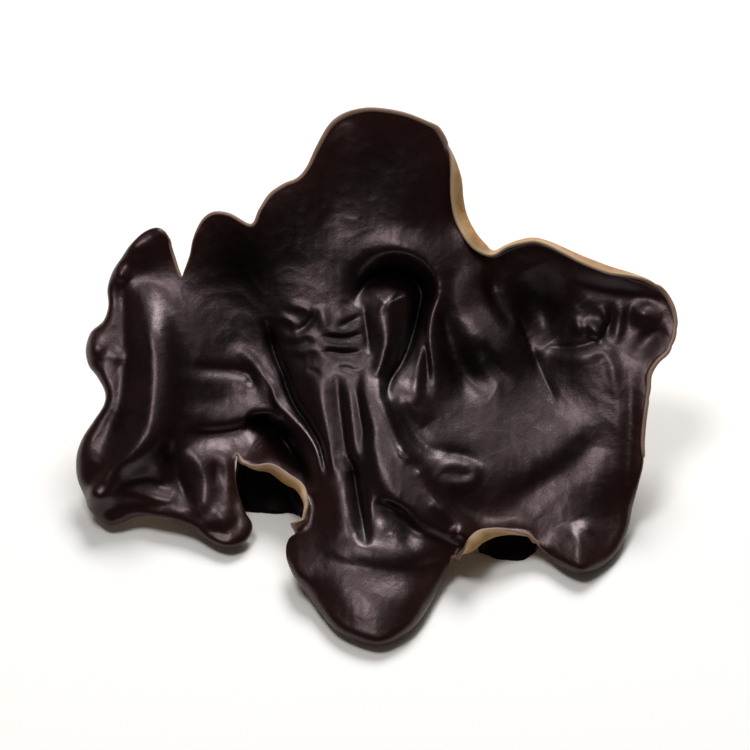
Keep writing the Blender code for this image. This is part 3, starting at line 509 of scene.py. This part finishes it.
rim = closed_curve([mark + (0,) * (5 - len(mark)) for mark in RIM], RIM_SPACING)
rim_count = len(rim)
rim_places = rim[:, :2]
roll = np.radians(blurred(rim[:, 3], 3))
lap = blurred(np.maximum(rim[:, 4], 0), 3)
along = np.roll(rim_places, -3, axis=0) - np.roll(rim_places, 3, axis=0)
outward = np.column_stack([-along[:, 1], along[:, 0]])
outward = np.column_stack([blurred(outward[:, 0], 3), blurred(outward[:, 1], 3)])
outward /= np.linalg.norm(outward, axis=1)[:, None]
tuck = np.sin(np.clip(roll, 0, HORIZON))
height = bending_sheet(np.concatenate([np.array([mark[:3] for mark in RIM]), np.array(SWELL)]))
SOFT_SPREAD = 3 * math.pi / 8


def rim_pull(points):
    """For each place, its eased distance from the rim and how strongly the rim near it tucks under."""
    def block(some):
        square = ((some[:, None] - rim_places[None]) ** 2).sum(-1) + 1e-6
        weights = square ** (-SOFT_NEAREST / 2)
        total = weights.sum(1)
        eased = (total * RIM_SPACING / SOFT_SPREAD) ** (-1 / (SOFT_NEAREST - 1))
        exact = np.sqrt(square.min(1))
        share = np.clip((exact - 0.25) / 0.5, 0, 1)
        return np.column_stack([exact + (eased - exact) * share, weights @ tuck / total])
    return in_blocks(block, points, 2000)


def depth_of(points, lifts):
    """How far behind the leaning plane the upper surface lies at each place."""
    depth = (points[:, 1] * math.cos(LEAN) - in_blocks(height, points)) / math.sin(LEAN) - lifts
    low = (points[:, 1] * math.cos(LEAN) - depth * math.sin(LEAN) - CLEAR_OF_TABLE) / CLEAR_EASE
    eased = CLEAR_EASE * np.log1p(np.exp(np.clip(low, -30, 30))) + CLEAR_OF_TABLE
    depth = np.where(low < 8, (points[:, 1] * math.cos(LEAN) - eased) / math.sin(LEAN), depth)
    away, tucked = rim_pull(points).T
    reach = np.clip(1 - away / ROLL_RADIUS, 0, 1) * tucked
    return depth + ROLL_RADIUS * (1 - np.sqrt(1 - reach**2))


def in_room(across, up, depth):
    """A place on the leaning plane and its depth behind it, as x, y and z in the frame, never under the table."""
    places = np.column_stack([across + LEAF_AT[0], up * math.sin(LEAN) + depth * math.cos(LEAN) + LEAF_AT[1],
                              up * math.cos(LEAN) - depth * math.sin(LEAN)])
    low = places[:, 2] < 2 * LOWEST
    places[low, 2] = LOWEST * (1 + np.exp(np.maximum(places[low, 2], -9) / LOWEST - 2))
    return places * MM


# How each stretch of rim runs on past the sheet's edge: along an arc that tucks under or turns over, and then
# straight on for as long as it laps back over the front
over = np.clip(-roll / math.radians(70), 0, 1)
probe = rim_places - outward * 0.5
probe_in = rim_places - outward * 0.9
rise = depth_of(probe, from_grid(grid_relief, probe)) - depth_of(probe_in, from_grid(grid_relief, probe_in))
slope = blurred(np.arctan2(rise, 0.4), 3)
slope = np.where(roll > 0, np.maximum(slope, np.minimum(roll, HORIZON)), slope)
bend_to = np.where(roll > 0, np.maximum(roll, slope), slope + (roll - slope) * np.clip(-roll / 0.5, 0, 1))
arc_radius = np.where(roll > 0, ROLL_RADIUS, OVER_RADIUS + (1 - over) * 1.4)
arc_length = 0.12 + arc_radius * np.abs(bend_to - slope)
FINE = 6
share = np.linspace(0, 1, STRIP_ROWS * FINE + 1)[:, None]
run_length = arc_length + lap
angle = slope + (bend_to - slope) * np.minimum(share * run_length / arc_length, 1)
middle = (angle[1:] + angle[:-1]) / 2
fine_step = run_length / (STRIP_ROWS * FINE)
zero = np.zeros((1, rim_count))
strip_out = np.concatenate([zero, np.cumsum(np.cos(middle) * fine_step, axis=0)])[::FINE]
strip_deep = np.concatenate([zero, np.cumsum(np.sin(middle) * fine_step, axis=0)])[::FINE]
strip_angle = angle[::FINE]
strip_thick = THICKNESS + (RIM_THICKNESS - THICKNESS) * np.sqrt(share[::FINE]) * np.ones((1, rim_count))
strip_thick = strip_thick * (1 - 0.25 * over)
inset = np.where(roll < 0, (strip_out.max(0) + RIM_THICKNESS * 0.75 * over) * np.clip(-roll / 0.05, 0, 1), 0.0)
inset = blurred(inset, 5)
edge = rim_places - outward * inset[:, None]
rings = [edge - outward * gap for gap in (0.06, 0.14)]


def filled(outline, kept_off, loose, step):
    """A flat fill of the outline with even triangles: its places, its faces, and where each outline point went."""
    fixed = np.concatenate([outline, *kept_off, *loose])
    spots = np.concatenate([fixed, lattice(outline, fixed, step)])
    count = len(outline)
    edges = [(i, (i + 1) % count) for i in range(count)]
    start = count
    for ring in kept_off:
        edges += [(start + i, start + (i + 1) % len(ring)) for i in range(len(ring))]
        start += len(ring)
    places, _, faces, origins, _, _ = delaunay_2d_cdt([Vector(p) for p in spots], edges, [], 1, 1e-7)
    kept = {old: new for new, olds in enumerate(origins) for old in olds}
    return np.array([tuple(p) for p in places]), faces, [kept[i] for i in range(count)]


turn = np.arange(STUB_SECTORS) * 2 * math.pi / STUB_SECTORS
stub_reach = STUB_RADIUS * (1 + STUB_RIB_DEPTH * np.cos(STUB_RIBS * turn))
stub_ring = np.column_stack([stub_reach * np.cos(turn), stub_reach * np.sin(turn)]) + STUB_AT

points, sides, rims, painted_shades, faces = [], [], [], [], []


def add_points(places, side, rim_share, hollow=0):
    """Adds places in the room to the leaf, and returns their numbers."""
    start = sum(len(block) for block in points)
    points.append(places)
    sides.append(np.broadcast_to(side, len(places)).astype(float))
    rims.append(np.broadcast_to(rim_share, len(places)).astype(float))
    painted_shades.append(np.broadcast_to(hollow, len(places)).astype(float))
    return np.arange(start, start + len(places))


def add_band(inner, outer):
    """Joins two rows around the rim with faces."""
    for i in range(rim_count):
        j = (i + 1) % rim_count
        faces.append((inner[i], inner[j], outer[j], outer[i]))


def rim_share(places):
    return np.exp(-clearance(places, edge) / RIM_FADE)


front_spots, front_faces, front_edge = filled(edge, [], rings, LEAF_STEP)
front_relief = in_blocks(relief, front_spots, 20000)
front_depth = depth_of(front_spots, front_relief + crumple(front_spots))
# Painted shade: darker and duller front in creases, in hollows below the folds around, and in the listed spots
around_relief = shifted(grid_relief, HOLLOW_REACH, lambda moved: np.mean(moved, axis=0))
hollow = np.clip((from_grid(around_relief, front_spots) - front_relief) / HOLLOW_FULL, 0, 1)
for across, up, radius, strength in PAINTED_SHADE_SPOTS:
    away = np.hypot(front_spots[:, 0] - across, front_spots[:, 1] - up) / radius
    hollow = np.maximum(hollow, strength * np.exp(-away**2))
numbers = add_points(in_room(*front_spots.T, front_depth), 0, rim_share(front_spots), hollow)
faces += [tuple(numbers[list(face)]) for face in front_faces]
row = numbers[front_edge]
edge_depth = front_depth[front_edge]
for k in range(1, STRIP_ROWS + 1):
    places = edge + outward * strip_out[k][:, None]
    # Paler towards the edge of turned-over rims: partly the edge's own tan, partly a painted highlight where it
    # catches the light
    paled = 0.4 * np.clip(2 * k / STRIP_ROWS - 1, 0, 1) * np.clip(-roll / PALE_FROM, 0, 1)
    next_row = add_points(in_room(*places.T, edge_depth + strip_deep[k]), paled, 1)
    add_band(row, next_row)
    row = next_row
half = strip_thick[-1] / 2
last = strip_angle[-1]
for k in range(1, EDGE_ROWS):
    around = math.pi * k / EDGE_ROWS
    out = strip_out[-1] + half * ((math.cos(around) - 1) * np.sin(last) + math.sin(around) * np.cos(last))
    deep = strip_deep[-1] + half * ((1 - math.cos(around)) * np.cos(last) + math.sin(around) * np.sin(last))
    side = paled + (1 - paled) * k / EDGE_ROWS
    next_row = add_points(in_room(*(edge + outward * out[:, None]).T, edge_depth + deep), side, 1)
    add_band(row, next_row)
    row = next_row
for k in range(STRIP_ROWS, 0, -1):
    out = strip_out[k] - strip_thick[k] * np.sin(strip_angle[k])
    deep = strip_deep[k] + strip_thick[k] * np.cos(strip_angle[k])
    share_out = BAND_START + (1 - BAND_START) * k / STRIP_ROWS
    next_row = add_points(in_room(*(edge + outward * out[:, None]).T, edge_depth + deep), 1, share_out)
    add_band(row, next_row)
    row = next_row


def band_ring(path, half_width):
    """A closed ring around a path, half a width to each side of it."""
    path = eased_path(path, 6)
    run = np.gradient(path, axis=0)
    across = np.column_stack([-run[:, 1], run[:, 0]]) / np.linalg.norm(run, axis=1)[:, None] * half_width
    return np.concatenate([path + across, (path - across)[::-1]])


curtain_rings = [band_ring(root, CURTAIN_HALF) for root, _ in CURTAINS]
back_spots, back_faces, back_edge = filled(edge, [stub_ring, *curtain_rings], [edge - outward * 0.2], BACK_STEP)


def back_depth(places):
    return depth_of(places, from_grid(soft_relief, places))


def least_depth(places):
    """How deep something behind the leaf has to lie for the front's folds not to cut into it."""
    return depth_of(places, from_grid(deep_relief, places)) + BACK_WALL


ahead = back_depth(back_spots)
step_across = (back_depth(back_spots + (GRADIENT_STEP, 0)) - ahead) / GRADIENT_STEP
step_up = (back_depth(back_spots + (0, GRADIENT_STEP)) - ahead) / GRADIENT_STEP
lean = np.sqrt(1 + step_across**2 + step_up**2)
back_flat = back_spots - THICKNESS * np.column_stack([step_across, step_up]) / lean[:, None]
back_places = in_room(*back_flat.T, np.maximum(ahead + THICKNESS / lean, least_depth(back_flat)))
hem = in_room(*(edge - outward * (THICKNESS * np.sin(slope))[:, None]).T, edge_depth + THICKNESS * np.cos(slope))
back_places[back_edge] = hem
back_numbers = add_points(back_places, 1, rim_share(back_spots))
faces += [tuple(back_numbers[list(face)][::-1]) for face in back_faces]
add_band(row, back_numbers[back_edge])

leaf_mesh = bpy.data.meshes.new("wood_ear_leaf")
leaf_mesh.from_pydata(np.concatenate(points).tolist(), [], [list(map(int, face)) for face in faces])
# The hollow attribute carries the painted shade of the front and of the inner folds
for name, values in (("back", sides), ("rim", rims), ("hollow", painted_shades)):
    layer = leaf_mesh.attributes.new(name, "FLOAT", "POINT")
    layer.data.foreach_set("value", np.concatenate(values))

shape = bmesh.new()
shape.from_mesh(leaf_mesh)
stub_mark = shape.verts.layers.float.new("stub")
start = shape.verts.layers.float_vector.new("start")
back_mark = shape.verts.layers.float["back"]
painted_shade_mark = shape.verts.layers.float["hollow"]


def grow(ring, rows, place):
    """Draws the part of the back within a ring out row by row. Place says where a point goes, from its start."""
    shape.verts.ensure_lookup_table()
    held = inside(back_spots, ring) | (clearance(back_spots, ring) < 0.01)
    roots = {int(i) for i in back_numbers[held]}
    patch = [face for face in shape.faces if all(vert.index in roots for vert in face.verts)]
    root_verts = {vert for face in patch for vert in face.verts}
    for vert in root_verts:
        vert[start] = vert.co
    axis = sum((vert.co for vert in root_verts), Vector()) / len(root_verts)
    for k in range(1, rows + 1):
        grown = bmesh.ops.extrude_face_region(shape, geom=patch)["geom"]
        bmesh.ops.delete(shape, geom=patch, context="FACES")
        patch = [item for item in grown if isinstance(item, bmesh.types.BMFace)]
        for vert in [item for item in grown if isinstance(item, bmesh.types.BMVert)]:
            place(vert, Vector(vert[start]), axis, k / rows)
    shape.verts.index_update()


def place_in_stub(vert, origin, axis, down):
    width = float(np.interp(down, *zip(*STUB_PROFILE)))
    vert.co = (axis.x + (origin.x - axis.x) * width, axis.y + (origin.y - axis.y) * width, origin.z * (1 - down))
    vert[stub_mark] = down


def keep_behind(verts):
    """Pushes points straight back, along the view, out of the way of the front's deepest folds."""
    room = np.array([tuple(vert.co) for vert in verts]) / MM
    across = room[:, 0] - LEAF_AT[0]
    up = (room[:, 1] - LEAF_AT[1]) * math.sin(LEAN) + room[:, 2] * math.cos(LEAN)
    depth = (room[:, 1] - LEAF_AT[1]) * math.cos(LEAN) - room[:, 2] * math.sin(LEAN)
    places = np.column_stack([across, up])
    short = np.maximum(least_depth(places) - depth, 0)
    for vert, push in zip(verts, short):
        if push > 0:
            vert.co.y += push * math.cos(LEAN) * MM
            vert.co.z -= push * math.sin(LEAN) * MM


def place_in_curtain(root, foot):
    """How an inner fold hangs: from its root on the back to its foot, a line on the table."""
    root_path, foot_path = eased_path(root, 6), eased_path(foot, 6)
    on_table = foot_path[:, 1] * math.cos(LEAN) / math.sin(LEAN)
    foot_line = in_room(*foot_path.T, on_table)
    root_line = in_room(*root_path.T, back_depth(root_path))

    def place(vert, origin, axis, down):
        near = ((root_line[:, :2] - origin.xy) ** 2).sum(1).argmin()
        aside = Vector(origin.xy) - Vector(root_line[near, :2])
        target = Vector(foot_line[near, :2]) + aside * 0.6
        flat = Vector(origin.xy).lerp(target, down ** 1.4)
        vert.co = (flat.x, flat.y, origin.z * (1 - down) + LOWEST * MM * down)
        vert[back_mark] = float(aside.y > CURTAIN_BACK * MM)
        # Painted shade: the inner folds are marked fully shaded, near black and dull
        vert[painted_shade_mark] = 1.0

    return place


grow(stub_ring, STUB_ROWS, place_in_stub)
keep_behind([vert for vert in shape.verts if 0 < vert[stub_mark] < STUB_FREE])
for ring, (root, foot) in zip(curtain_rings, CURTAINS):
    grow(ring, CURTAIN_ROWS, place_in_curtain(root, foot))
bmesh.ops.recalc_face_normals(shape, faces=shape.faces)
shape.to_mesh(leaf_mesh)
shape.free()
leaf_mesh.attributes.remove(leaf_mesh.attributes["start"])
leaf_mesh.shade_smooth()
wood_ear = bpy.data.objects.new("wood_ear_leaf", leaf_mesh)
bpy.context.scene.collection.objects.link(wood_ear)
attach(wood_ear, "root")
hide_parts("wood_ear")


def leaf_material():
    """Nearly black satin leather in front, suede behind, and a pale edge between them."""
    material = bpy.data.materials.new("dried wood ear")
    material.use_nodes = True
    nodes, links = material.node_tree.nodes, material.node_tree.links
    shader = nodes["Principled BSDF"]

    def node(kind, **inputs):
        made = nodes.new(kind)
        for name, value in inputs.items():
            made.inputs[name.replace("_", " ")].default_value = value
        return made

    def join(source, target):
        links.new(source, target)

    def mask(name):
        made = nodes.new("ShaderNodeAttribute")
        made.attribute_name = name
        return made.outputs["Fac"]

    def blend(factor, first, second, kind="MIX"):
        made = nodes.new("ShaderNodeMix")
        made.data_type = "RGBA"
        made.blend_type = kind
        for name, value in (("Factor", factor), ("A", first), ("B", second)):
            socket = next(item for item in made.inputs if item.name == name and item.enabled)
            if isinstance(value, bpy.types.NodeSocket):
                join(value, socket)
            else:
                socket.default_value = (*value, 1) if isinstance(value, tuple) else value
        return next(item for item in made.outputs if item.enabled)

    def math_node(kind, first, second=0.0, third=0.0):
        made = nodes.new("ShaderNodeMath")
        made.operation = kind
        for socket, value in zip(made.inputs, (first, second, third)):
            if isinstance(value, bpy.types.NodeSocket):
                join(value, socket)
            else:
                socket.default_value = value
        return made.outputs[0]

    def step(value, low, high, to_low=0.0, to_high=1.0):
        made = node("ShaderNodeMapRange", From_Min=low, From_Max=high, To_Min=to_low, To_Max=to_high)
        join(value, made.inputs["Value"])
        return made.outputs["Result"]

    place = nodes.new("ShaderNodeTexCoord").outputs["Object"]
    in_mm = nodes.new("ShaderNodeVectorMath")
    in_mm.operation = "SCALE"
    in_mm.inputs["Scale"].default_value = 1000
    join(place, in_mm.inputs[0])
    in_mm = in_mm.outputs[0]

    def cloud(scale, detail=2.0, rough=0.5):
        made = node("ShaderNodeTexNoise", Scale=scale, Detail=detail, Roughness=rough)
        join(in_mm, made.inputs["Vector"])
        return made.outputs["Fac"]

    back, rim, stub, hollow = mask("back"), mask("rim"), mask("stub"), mask("hollow")
    broad = step(cloud(0.13, 3), 0.35, 0.68)
    fine = cloud(1.4, 4, 0.6)
    front = blend(broad, (0.0018, 0.0008, 0.0007), (0.0056, 0.0019, 0.0015))
    # Painted light: reddish towards the rims, standing in for light shining through the thin edges
    front = blend(math_node("MULTIPLY", rim, 0.8), front, (0.018, 0.0042, 0.0025))
    # Painted shade: near black where the hollow mask is set
    front = blend(hollow, front, (0.0012, 0.0006, 0.0006))
    suede = blend(step(cloud(0.5, 4, 0.65), 0.3, 0.7), (0.13, 0.083, 0.052), (0.23, 0.155, 0.098))
    suede = blend(math_node("MULTIPLY", stub, 0.6), suede, (0.10, 0.055, 0.032))
    golden = blend(step(fine, 0.3, 0.7), (0.31, 0.155, 0.05), (0.47, 0.27, 0.10))
    behind = blend(step(rim, 0.68, 0.8), suede, golden)
    # Cream right at the edge: partly the edge's own tan, partly a painted highlight of the lit thin edge
    behind = blend(step(rim, 0.92, 1.0), behind, (0.52, 0.38, 0.235))
    # The pale edge colour, likewise partly the edge's own tan and partly painted highlight
    pale = (0.24, 0.155, 0.11)
    colour = blend(step(back, 0.05, 0.3), front, pale)
    colour = blend(step(back, 0.7, 1.0), colour, behind)
    join(colour, shader.inputs["Base Color"])
    satin = step(fine, 0.3, 0.7, 0.31, 0.38)
    rough = math_node("ADD", satin, math_node("MULTIPLY", back, 0.38))
    join(rough, shader.inputs["Roughness"])
    # Painted shade too: less gloss where the hollow mask is set
    join(math_node("MULTIPLY_ADD", hollow, -0.38, 0.5), shader.inputs["Specular IOR Level"])
    shader.inputs["Specular Tint"].default_value = (1.0, 0.73, 0.78, 1)
    grain = math_node("ADD", math_node("MULTIPLY", cloud(3.2, 3, 0.6), 0.5), math_node("MULTIPLY", fine, 0.6))
    bump = node("ShaderNodeBump", Strength=0.6, Distance=0.00005)
    join(grain, bump.inputs["Height"])
    join(bump.outputs["Normal"], shader.inputs["Normal"])
    return material


leaf_mesh.materials.append(leaf_material())


# The floor: a plain white sheet, far larger than the leaf, that only catches its shadow
floor_mesh = bpy.data.meshes.new("floor")
floor_half = 2.0
floor_mesh.from_pydata([(-floor_half, -floor_half, 0), (floor_half, -floor_half, 0),
                        (floor_half, floor_half, 0), (-floor_half, floor_half, 0)], [], [(0, 1, 2, 3)])
floor = bpy.data.objects.new("floor", floor_mesh)
bpy.context.scene.collection.objects.link(floor)
floor_material = bpy.data.materials.new("white table")
floor_material.use_nodes = True
floor_shader = floor_material.node_tree.nodes["Principled BSDF"]
floor_shader.inputs["Base Color"].default_value = (0.93, 0.92, 0.90, 1)
floor_shader.inputs["Roughness"].default_value = 0.9
floor_mesh.materials.append(floor_material)

# The light: a window behind the leaf on the right, a lamp above it, a wide pale ceiling, and a dim warm room
def soft_box(name, at, aim, size, power, colour=(1, 1, 1)):
    light = bpy.data.lights.new(name, "AREA")
    light.shape = "DISK"
    light.size = size
    light.energy = power
    light.color = colour
    lamp = bpy.data.objects.new(name, light)
    lamp.location = at
    lamp.rotation_euler = (Vector(aim) - Vector(at)).to_track_quat("-Z", "Y").to_euler()
    bpy.context.scene.collection.objects.link(lamp)


soft_box("window", (0.08, 0.45, 0.48), (0, 0, 0), 0.3, 3.8)
soft_box("lamp", (-0.17, 0.0, 0.70), (0, 0, 0), 0.25, 1.8)
soft_box("ceiling", (0, 0.40, 0.95), (0, 0, 0), 1.3, 2.2)
world = bpy.data.worlds.new("room")
world.use_nodes = True
world.node_tree.nodes["Background"].inputs["Color"].default_value = (1, 0.88, 0.76, 1)
world.node_tree.nodes["Background"].inputs["Strength"].default_value = 0.07
bpy.context.scene.world = world
bpy.context.scene.view_settings.view_transform = "Standard"

# The camera: a long lens that looks down at the leaf as the photograph does
FRAME_WIDTH = 75 * MM
LENS = 400
SENSOR = 36
AIM_ACROSS, AIM_UP = -0.5, -0.3
camera_data = bpy.data.cameras.new("camera")
camera_data.lens = LENS
camera_data.sensor_width = SENSOR
camera_data.clip_start = 0.01
camera_data.clip_end = 10
camera = bpy.data.objects.new("camera", camera_data)
distance = FRAME_WIDTH * LENS / SENSOR
aim = Vector(in_room(np.array([AIM_ACROSS]), np.array([AIM_UP]), np.array([-15.0]))[0])
toward = Vector((0, math.cos(LEAN), -math.sin(LEAN)))
camera.location = aim - toward * distance
camera.rotation_euler = toward.to_track_quat("-Z", "Y").to_euler()
bpy.context.scene.collection.objects.link(camera)
bpy.context.scene.camera = camera
